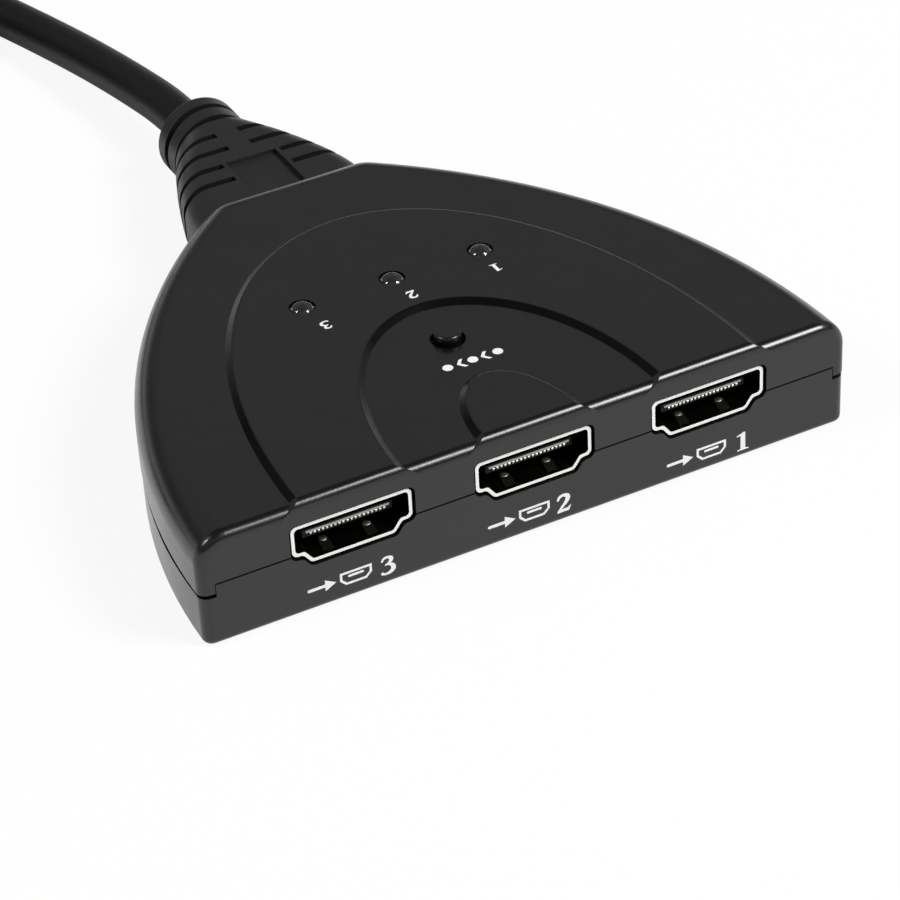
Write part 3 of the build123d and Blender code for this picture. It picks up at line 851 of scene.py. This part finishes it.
@dataclass
class Cable:
    """The free cable: out of the strain relief, round its put-away coil and into the plug.

    Its line is a smooth spline whose control points are the route of the model's own cable.
    """

    finishes: Finishes
    diameter: float = 5.8 * MM
    tip: Point = (0.0, 46.15 * MM, 5.7 * MM)
    lead: tuple[Point, ...] = (
        (0.0, 46.15, 5.7),
        (0.0, 53.6, 5.7),
        (-1.4, 64.4, 5.1),
        (-3.0, 75.0, 4.25),
        (-4.9, 84.8, 3.45),
        (-7.3, 94.2, 3.0),
        (-9.707, 101.481, 2.92),
        (-14.036, 112.243, 2.92),
    )
    coil_centre: FlatPoint = (-45.8, 106.85)
    coil_radius: float = 31.5
    coil_step: float = 6.6
    coil_layer: float = 6.3
    coil_start_angle: float = 20.0
    coil_angle: float = 880.0
    climb_angle: float = 176.0
    lying_height: float = 2.92
    points_per_turn: int = 18
    tail: tuple[Point, ...] = (
        (-77.493, 101.053, 9.22),
        (-77.783, 92.358, 9.22),
        (-77.0, 82.6, 7.85),
        (-75.4, 72.8, 5.52),
        (-75.4, 63.0, 5.52),
    )

    def _coil_points(self) -> list[Point]:
        """Work out the coil's control points.

        Returns:
            The points, in the model's millimetres.
        """
        count = round(self.coil_angle / 360 * self.points_per_turn)
        # A quadratic spline runs inside control points on a circle, so they move out by this share
        outward = 1 / (0.75 + 0.25 * math.cos(math.radians(self.coil_angle / count)))
        points = []
        for place in range(count + 1):
            turned = self.coil_angle * place / count
            inward = min(turned, self.coil_angle - turned) / 360
            radius = (self.coil_radius - inward * self.coil_step) * outward
            climbed = (turned - (self.coil_angle - self.climb_angle) / 2) / self.climb_angle
            climbed = min(max(climbed, 0.0), 1.0)
            eased = climbed * climbed * (3 - 2 * climbed)
            angle = math.radians(self.coil_start_angle + turned)
            points.append(
                (
                    self.coil_centre[0] + radius * math.cos(angle),
                    self.coil_centre[1] + radius * math.sin(angle),
                    self.lying_height + eased * self.coil_layer,
                )
            )
        return points

    def build(self) -> bpy.types.Object:
        """Returns:
            The cable.
        """
        route = [*self.lead, *self._coil_points(), *self.tail]
        curve = bpy.data.curves.new("cable", "CURVE")
        curve.dimensions = "3D"
        curve.bevel_depth = self.diameter / 2
        curve.bevel_resolution = 8
        curve.resolution_u = 8
        spline = curve.splines.new("NURBS")
        spline.points.add(len(route) - 1)
        for point, place in zip(spline.points, route):
            point.co = (*(value * MM for value in place), 1.0)
        spline.order_u = 3
        spline.use_endpoint_u = True
        cable = add_piece("cable", curve, self.finishes.cable, Body.CASE)
        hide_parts("cable_lead", "cable_coil", "cable_tail")
        return cable


@dataclass
class Case:
    """The two shells of the case, the button and the screws."""

    finishes: Finishes

    def dress(self) -> None:
        """Give each node its finish."""
        for node in ("top_cover", "bottom_case", "select_button"):
            dress(node, self.finishes.case)
        dress("case_screws", self.finishes.screw)


@dataclass
class Sockets:
    """The three sockets in the front, with the finer parts of each tongue and of its springs."""

    finishes: Finishes
    count: int = 3
    nose_width: float = 10.2 * MM
    nose_height: float = 0.36 * MM
    nose_depth: float = 0.1 * MM
    nose_rise: float = 0.13 * MM
    tip_count: int = 19
    tip_pitch: float = 0.5 * MM
    tip_width: float = 0.28 * MM
    tip_reach: float = 0.14 * MM
    tip_drop: float = 0.15 * MM
    tip_sections: tuple[FlatPoint, ...] = ((0.0, 1.0), (0.6, 1.0), (1.0, 0.6))
    face_depth: float = 0.01 * MM
    dimple_radius: float = 0.5 * MM
    dimple_height: float = 0.12 * MM
    dimple_sunk: float = 0.5
    spring_spacing: float = 5.4 * MM
    dimple_reach: float = 0.8 * MM
    sides: int = 20
    rounds: int = 6

    def dress(self) -> None:
        """Give each node its finish, and add the finer parts."""
        for number in range(1, self.count + 1):
            dress(f"socket_shell_{number}", self.finishes.shell)
            dress(f"socket_insulator_{number}", self.finishes.insulator)
            dress(f"socket_contacts_{number}", self.finishes.gold)
            front = self._tongue_front(number)
            self._nose(number, front)
            self._tips(number, front)
            self._dimples(number)

    def _tongue_front(self, number: int) -> Vector:
        """Find a tongue's front face.

        Args:
            number: Which socket.

        Returns:
            The face's middle.
        """
        low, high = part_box(f"socket_insulator_{number}")
        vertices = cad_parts[f"socket_insulator_{number}"].data.vertices
        heights = [vertex.co.z for vertex in vertices if vertex.co.y - low.y < self.face_depth]
        return Vector(((low.x + high.x) / 2, low.y, (min(heights) + max(heights)) / 2))

    def _nose(self, number: int, front: Vector) -> bpy.types.Object:
        """Add the pale rounded strip along a tongue's front edge.

        Args:
            number: Which socket.
            front: The middle of the tongue's front face.

        Returns:
            The strip.
        """
        middle = front.z + self.nose_rise
        loops = []
        for side in (-1, 1):
            loop = []
            for step in range(self.rounds + 1):
                turn = math.pi * step / self.rounds
                height = middle + self.nose_height / 2 * math.cos(turn)
                depth = self.nose_depth * math.sin(turn)
                loop.append((front.x + side * self.nose_width / 2, front.y - depth, height))
            loops.append(loop)
        return self._add(skinned_mesh(f"tongue_nose_{number}", loops), self.finishes.nose)

    def _tips(self, number: int, front: Vector) -> bpy.types.Object:
        """Add the contacts' ends, a row of small bars with bevelled noses under the strip.

        Args:
            number: Which socket.
            front: The middle of the tongue's front face.

        Returns:
            The row.
        """
        shape = bmesh.new()
        level = front.z - self.tip_drop
        for place in range(self.tip_count):
            middle = front.x + (place - (self.tip_count - 1) / 2) * self.tip_pitch
            loops = []
            for reach, share in self.tip_sections:
                half, y = share * self.tip_width / 2, front.y - reach * self.tip_reach
                loops.append([(middle + x * half, y, level + z * half) for x, z in SQUARE])
            add_solid(shape, loops)
        return self._add(closed_mesh(f"contact_tips_{number}", shape), self.finishes.nose)

    def _dimples(self, number: int) -> None:
        """Add the raised dimple on the crest of each of a shell's two springs.

        Args:
            number: Which socket.
        """
        low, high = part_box(f"socket_shell_{number}")
        middle = (low + high) / 2
        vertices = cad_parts[f"socket_shell_{number}"].data.vertices
        for name, side in (("left", -1), ("right", 1)):
            x = middle.x + side * self.spring_spacing / 2
            floor = [vertex.co for vertex in vertices if vertex.co.z < middle.z]
            near = [point for point in floor if abs(point.x - x) < self.dimple_reach]
            crest = max(near, key=lambda point: point.z)
            profile = []
            for step in range(self.rounds):
                turn = math.pi / 2 * step / self.rounds
                height = crest.z + self.dimple_height * (math.sin(turn) - self.dimple_sunk)
                profile.append((self.dimple_radius * math.cos(turn), height))
            mesh = turned_mesh(
                f"spring_dimple_{number}_{name}", (x, crest.y), profile, self.sides
            )
            self._add(mesh, self.finishes.dimple)

    def _add(self, mesh: bpy.types.Mesh, material: bpy.types.Material) -> bpy.types.Object:
        """Add a mesh as a metal piece of the case, under its own name."""
        return add_piece(mesh.name, mesh, material, Body.CASE)


@dataclass
class Lamps:
    """The three lamps, each a clear lens over a small bright cup."""

    finishes: Finishes
    count: int = 3
    cup_radius: float = 0.75 * MM
    cup_outer_radius: float = 0.8625 * MM
    cup_floor_radius: float = 0.35 * MM
    cup_centre_radius: float = 0.007 * MM
    cup_depth: float = 0.5 * MM
    cup_height: float = 1.25 * MM
    cup_drop: float = 2.2 * MM
    sides: int = 32

    def dress(self) -> None:
        """Give each node its finish, and add the cups."""
        dress("lamp_leads", self.finishes.nickel)
        for number in range(1, self.count + 1):
            dress(f"lamp_{number}", self.finishes.lens)
            self._cup(number)

    def _cup(self, number: int) -> bpy.types.Object:
        """Add the bright cup that a lamp's chip sits in.

        Args:
            number: Which lamp.

        Returns:
            The cup.
        """
        low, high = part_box(f"lamp_{number}")
        centre = (low + high) / 2
        rim_height = high.z - self.cup_drop
        profile = (
            (self.cup_centre_radius, rim_height - self.cup_depth),
            (self.cup_floor_radius, rim_height - self.cup_depth),
            (self.cup_radius, rim_height),
            (self.cup_outer_radius, rim_height),
            (self.cup_outer_radius, rim_height - self.cup_height),
            (self.cup_centre_radius, rim_height - self.cup_height),
        )
        mesh = turned_mesh(f"lamp_cup_{number}", (centre.x, centre.y), profile, self.sides)
        return add_piece(f"lamp_cup_{number}", mesh, self.finishes.nickel, Body.CASE)


def join_rings(
    shape: bmesh.types.BMesh,
    first: Sequence[bmesh.types.BMVert],
    second: Sequence[bmesh.types.BMVert],
) -> None:
    """Add the faces between two rings that have the same number of points.

    Args:
        shape: The mesh.
        first: One ring.
        second: The other.
    """
    for here in range(len(first)):
        after = (here + 1) % len(first)
        shape.faces.new((first[here], first[after], second[after], second[here]))


def add_solid(shape: bmesh.types.BMesh, loops: Sequence[Sequence[Point]]) -> None:
    """Skin a row of closed loops that have the same number of points, and close both ends.

    Args:
        shape: The mesh that the solid is added to.
        loops: The loops, from one end to the other.
    """
    rings = [[shape.verts.new(point) for point in loop] for loop in loops]
    for first, second in zip(rings, rings[1:]):
        join_rings(shape, first, second)
    shape.faces.new(rings[0][::-1])
    shape.faces.new(rings[-1])


def closed_mesh(name: str, shape: bmesh.types.BMesh) -> bpy.types.Mesh:
    """Turn the faces of a shape outwards and make it a mesh.

    Args:
        name: The mesh's name.
        shape: The shape, which is used up.

    Returns:
        The mesh.
    """
    bmesh.ops.recalc_face_normals(shape, faces=shape.faces)
    mesh = bpy.data.meshes.new(name)
    shape.to_mesh(mesh)
    shape.free()
    return mesh


def skinned_mesh(name: str, loops: Sequence[Sequence[Point]]) -> bpy.types.Mesh:
    """Make one solid of a row of closed loops.

    Args:
        name: The mesh's name.
        loops: The loops, from one end to the other.

    Returns:
        The closed mesh.
    """
    shape = bmesh.new()
    add_solid(shape, loops)
    return closed_mesh(name, shape)


def turned_mesh(
    name: str, centre: FlatPoint, profile: Iterable[FlatPoint], sides: int
) -> bpy.types.Mesh:
    """Turn a profile about an upright axis.

    Args:
        name: The mesh's name.
        centre: The axis, as X and Y.
        profile: Radius and height of each ring.
        sides: How many sides a ring has.

    Returns:
        The closed mesh.
    """
    turns = [math.tau * side / sides for side in range(sides)]
    ways = [(math.cos(turn), math.sin(turn)) for turn in turns]
    loops = [
        [(centre[0] + radius * x, centre[1] + radius * y, height) for x, y in ways]
        for radius, height in profile
    ]
    return skinned_mesh(name, loops)


@dataclass(frozen=True)
class Sign:
    """A printed sign, made of filled outlines, smooth strokes and outlined rings.

    Its points are X and Y, and for a stroke the width there too.
    """

    fills: tuple[Outline, ...] = ()
    strokes: tuple[Sequence[Point], ...] = ()
    rings: tuple[Outline, ...] = ()
    ring_width: float = 0.0
    steps: int = 6
    cap_steps: int = 5

    def mesh(self, name: str, thickness: float, rise: float, to_place: Matrix) -> bpy.types.Mesh:
        """Build the sign as thin flat films, each a little higher than the one before.

        Args:
            name: The mesh's name.
            thickness: How thick a film is, in the sign's own units.
            rise: How much higher each film stands than the one before.
            to_place: What puts the sign where it is printed.

        Returns:
            The mesh.
        """
        outlines = [*self.fills, *(self._stroke_outline(stroke) for stroke in self.strokes)]
        shape = bmesh.new()
        for number, outline in enumerate(outlines):
            self._film(shape, outline, (), thickness + number * rise)
        for number, ring in enumerate(self.rings, len(outlines)):
            hole = inner_outline(ring, self.ring_width)
            self._film(shape, ring, hole, thickness + number * rise)
        mesh = closed_mesh(name, shape)
        mesh.transform(to_place)
        return mesh

    @staticmethod
    def _film(shape: bmesh.types.BMesh, outer: Outline, inner: Outline, height: float) -> None:
        """Add one film to a mesh.

        Args:
            shape: The mesh.
            outer: The film's outline.
            inner: The outline of the hole in it, if it has one.
            height: How high its top is.
        """
        walls = []
        for outline in (outer, inner):
            low = [shape.verts.new((x, y, 0.0)) for x, y in outline]
            high = [shape.verts.new((x, y, height)) for x, y in outline]
            walls.append((low, high))
            join_rings(shape, low, high)
        for outside, inside in zip(*walls):
            if inside:
                join_rings(shape, outside, inside)
            else:
                shape.faces.new(outside)

    def _stroke_outline(self, stroke: Sequence[Point]) -> Outline:
        """Draw round a stroke.

        Args:
            stroke: The points that it passes, with its width at each.

        Returns:
            Its closed outline, with round ends.
        """
        line = self._smooth([Vector(point) for point in stroke])
        left, right = [], []
        for place, point in enumerate(line):
            ahead = line[min(place + 1, len(line) - 1)] - line[max(place - 1, 0)]
            across = Vector((-ahead.y, ahead.x)).normalized() * point.z / 2
            left.append(point.xy + across)
            right.append(point.xy - across)
        start = self._cap(line[0], right[0] - line[0].xy)
        finish = self._cap(line[-1], left[-1] - line[-1].xy)
        return [(point.x, point.y) for point in (*left, *finish, *reversed(right), *start)]

    def _cap(self, end: Vector, arm: Vector) -> list[Vector]:
        """The points of a round end, half a turn clockwise from an arm of its own length."""
        turns = (math.pi * step / self.cap_steps for step in range(1, self.cap_steps))
        return [end.xy + Matrix.Rotation(-turn, 2) @ arm for turn in turns]

    def _smooth(self, points: Sequence[Vector]) -> list[Vector]:
        """Pass a smooth line through points, widths and all.

        Args:
            points: The points.

        Returns:
            The line's points.
        """
        line = []
        for place in range(len(points) - 1):
            before, here, after, beyond = (
                points[min(max(place + step, 0), len(points) - 1)] for step in (-1, 0, 1, 2)
            )
            for step in range(self.steps):
                share = step / self.steps
                bend = (2 * before - 5 * here + 4 * after - beyond) * share
                turn = (3 * here - before - 3 * after + beyond) * share * share
                line.append(here + (after - before + bend + turn) * share / 2)
        return [*line, points[-1]]


def inner_outline(outline: Outline, width: float) -> Outline:
    """Draw an anticlockwise outline again, the same width inside on all its sides.

    Args:
        outline: The outline.
        width: How far inside.

    Returns:
        The smaller outline, point for point.
    """
    points = [Vector(point) for point in outline]
    inside = []
    for place, point in enumerate(points):
        sides = (point - points[place - 1], points[(place + 1) % len(points)] - point)
        first, second = (Vector((-side.y, side.x)).normalized() for side in sides)
        moved = point + (first + second) * width / (1 + first.dot(second))
        inside.append((moved.x, moved.y))
    return inside


# Points of the digits' outlines and strokes, in heights of a digit
ONE_OUTLINE = (
    (0.1, 0.0), (0.72, 0.0), (0.72, 0.05), (0.54, 0.1), (0.53, 1.0), (0.46, 1.0),
    (0.06, 0.87), (0.08, 0.81), (0.28, 0.84), (0.28, 0.1), (0.1, 0.05),
)
TWO_FOOT = (
    (0.02, 0.0), (0.64, 0.0), (0.76, 0.27), (0.7, 0.27), (0.58, 0.17), (0.16, 0.16), (0.02, 0.05),
)
TWO_NECK = (
    (0.08, 0.72, 0.11), (0.17, 0.87, 0.15), (0.36, 0.93, 0.15), (0.56, 0.84, 0.22),
    (0.59, 0.68, 0.23), (0.47, 0.48, 0.19), (0.27, 0.27, 0.14), (0.11, 0.09, 0.11),
)
THREE_TOP = (
    (0.1, 0.78, 0.1), (0.2, 0.91, 0.13), (0.37, 0.945, 0.12), (0.55, 0.86, 0.19),
    (0.55, 0.73, 0.2), (0.44, 0.61, 0.14), (0.27, 0.54, 0.08),
)
THREE_BOWL = (
    (0.33, 0.57, 0.08), (0.51, 0.51, 0.15), (0.64, 0.38, 0.22), (0.63, 0.21, 0.23),
    (0.45, 0.075, 0.16), (0.24, 0.05, 0.11), (0.09, 0.11, 0.15),
)
ONE = Sign(fills=(ONE_OUTLINE,))
TWO = Sign(fills=(TWO_FOOT,), strokes=(TWO_NECK,))
THREE = Sign(strokes=(THREE_TOP, THREE_BOWL))
DIGITS = {"1": ONE, "2": TWO, "3": THREE}
INTO_SOCKET = Sign(
    fills=(((1.0, 0.16), (1.62, 0.5), (1.0, 0.84)),),
    strokes=(((0.1, 0.5, 0.18), (1.05, 0.5, 0.18)), ((2.35, 0.6, 0.14), (3.1, 0.6, 0.14))),
    rings=(((2.15, 0.1), (3.3, 0.1), (3.62, 0.42), (3.62, 0.9), (1.83, 0.9), (1.83, 0.42)),),
    ring_width=0.13,
)
CHEVRON = ((0.95, 0.08), (1.2, 0.08), (1.52, 0.5), (1.2, 0.92), (0.95, 0.92), (1.27, 0.5))
STEP_ON = Sign(
    fills=tuple(tuple((x + shift, y) for x, y in CHEVRON) for shift in (0.0, 1.62)),
    strokes=tuple(((x, 0.5, 0.66), (x + 0.02, 0.5, 0.66)) for x in (0.35, 2.05, 3.75)),
)


@dataclass
class Marks:
    """The printed marks: digits by the lamps, digits and signs by the sockets and a button sign."""

    finishes: Finishes
    lamp_digits: tuple[tuple[str, float, float], ...] = (
        ("3", -11.08, -16.54),
        ("2", 0.39, -16.07),
        ("1", 11.56, -16.14),
    )
    lamp_digit_height: float = 1.65
    socket_digits: tuple[tuple[str, float, float], ...] = (
        ("3", -18.88, 2.66),
        ("2", 3.5, 2.62),
        ("1", 27.2, 2.3),
    )
    socket_digit_height: float = 2.5
    socket_signs: tuple[tuple[str, float, float], ...] = (
        ("3", -24.75, 2.85),
        ("2", -2.25, 2.8),
        ("1", 21.05, 2.55),
    )
    socket_sign_height: float = 2.2
    button_sign_place: FlatPoint = (0.46, -31.03)
    button_sign_height: float = 1.9
    digit_width: float = 0.78
    socket_sign_width: float = 3.7
    button_sign_width: float = 4.1
    lamp_zone_height: float = 15.05
    button_zone_height: float = 14.5
    front_face: float = -46.15
    film: float = 0.008
    film_rise: float = 0.002

    def build(self) -> None:
        """Print every mark."""
        upside_down = Matrix.Rotation(math.pi, 4, "Z")
        upright = Matrix.Rotation(math.pi / 2, 4, "X")
        for digit, x, y in self.lamp_digits:
            place = Vector((x, y, self.lamp_zone_height))
            size = (self.digit_width, self.lamp_digit_height)
            self._print(f"lamp_digit_{digit}", DIGITS[digit], size, place, upside_down)
        for digit, x, z in self.socket_digits:
            place = Vector((x, self.front_face, z))
            size = (self.digit_width, self.socket_digit_height)
            self._print(f"socket_digit_{digit}", DIGITS[digit], size, place, upright)
        for number, x, z in self.socket_signs:
            place = Vector((x, self.front_face, z))
            size = (self.socket_sign_width, self.socket_sign_height)
            self._print(f"socket_sign_{number}", INTO_SOCKET, size, place, upright)
        place = Vector((*self.button_sign_place, self.button_zone_height))
        size = (self.button_sign_width, self.button_sign_height)
        self._print("button_sign", STEP_ON, size, place, upside_down)

    def _print(
        self, name: str, sign: Sign, size: FlatPoint, place: Vector, turn: Matrix
    ) -> bpy.types.Object:
        """Print one sign.

        Args:
            name: The piece's name.
            sign: The sign.
            size: Its width as a multiple of its height, and its height in millimetres.
            place: Its middle, in millimetres.
            turn: How it is turned from facing up with its top towards +Y.

        Returns:
            The piece.
        """
        width, height = size
        to_middle = Matrix.Translation((-width / 2, -0.5, 0.0))
        to_place = (
            Matrix.Scale(MM, 4)
            @ Matrix.Translation(place)
            @ turn
            @ Matrix.Diagonal((height, height, 1.0, 1.0))
            @ to_middle
        )
        mesh = sign.mesh(name, self.film, self.film_rise, to_place)
        return add_piece(name, mesh, self.finishes.ink, Body.CASE)


@dataclass
class StrainRelief:
    """The moulded boot and what runs through it."""

    finishes: Finishes

    def dress(self) -> None:
        """Give each node its finish."""
        dress("strain_relief", self.finishes.boot)
        dress("cable_stub", self.finishes.cable)
        dress("cable_wires", self.finishes.wire)


@dataclass
class Board:
    """The circuit board and what stands on it, all inside the case."""

    finishes: Finishes

    def dress(self) -> None:
        """Give each node its finish."""
        dress("circuit_board", self.finishes.board)
        dress("capacitors", self.finishes.ceramic)
        for node in ("selector_chip", "guard_chips", "switch_body", "switch_plunger"):
            dress(node, self.finishes.insulator)
        for node in ("chip_pins", "switch_legs", "switch_cover"):
            dress(node, self.finishes.nickel)


@dataclass
class Plug:
    """The output plug at the cable's end."""

    finishes: Finishes

    def dress(self) -> None:
        """Give each node its finish."""
        dress("plug_body", self.finishes.boot)
        dress("plug_shell", self.finishes.nickel)
        dress("plug_core", self.finishes.insulator)
        dress("plug_contacts", self.finishes.gold)


def main() -> None:
    """Build the scene, the camera and the cable first."""
    logging.basicConfig(level=logging.INFO, format="%(message)s")
    bpy.context.scene.view_settings.view_transform = "Standard"
    Viewpoint().build()
    finishes = Finishes()
    Cable(finishes).build()
    LOG.info("cable laid")
    Studio().build()
    for part in (
        Case(finishes),
        Sockets(finishes),
        Lamps(finishes),
        StrainRelief(finishes),
        Board(finishes),
        Plug(finishes),
    ):
        part.dress()
        LOG.info("dressed %s", type(part).__name__)
    Marks(finishes).build()
    LOG.info("marks printed")


if __name__ == "__main__":
    main()
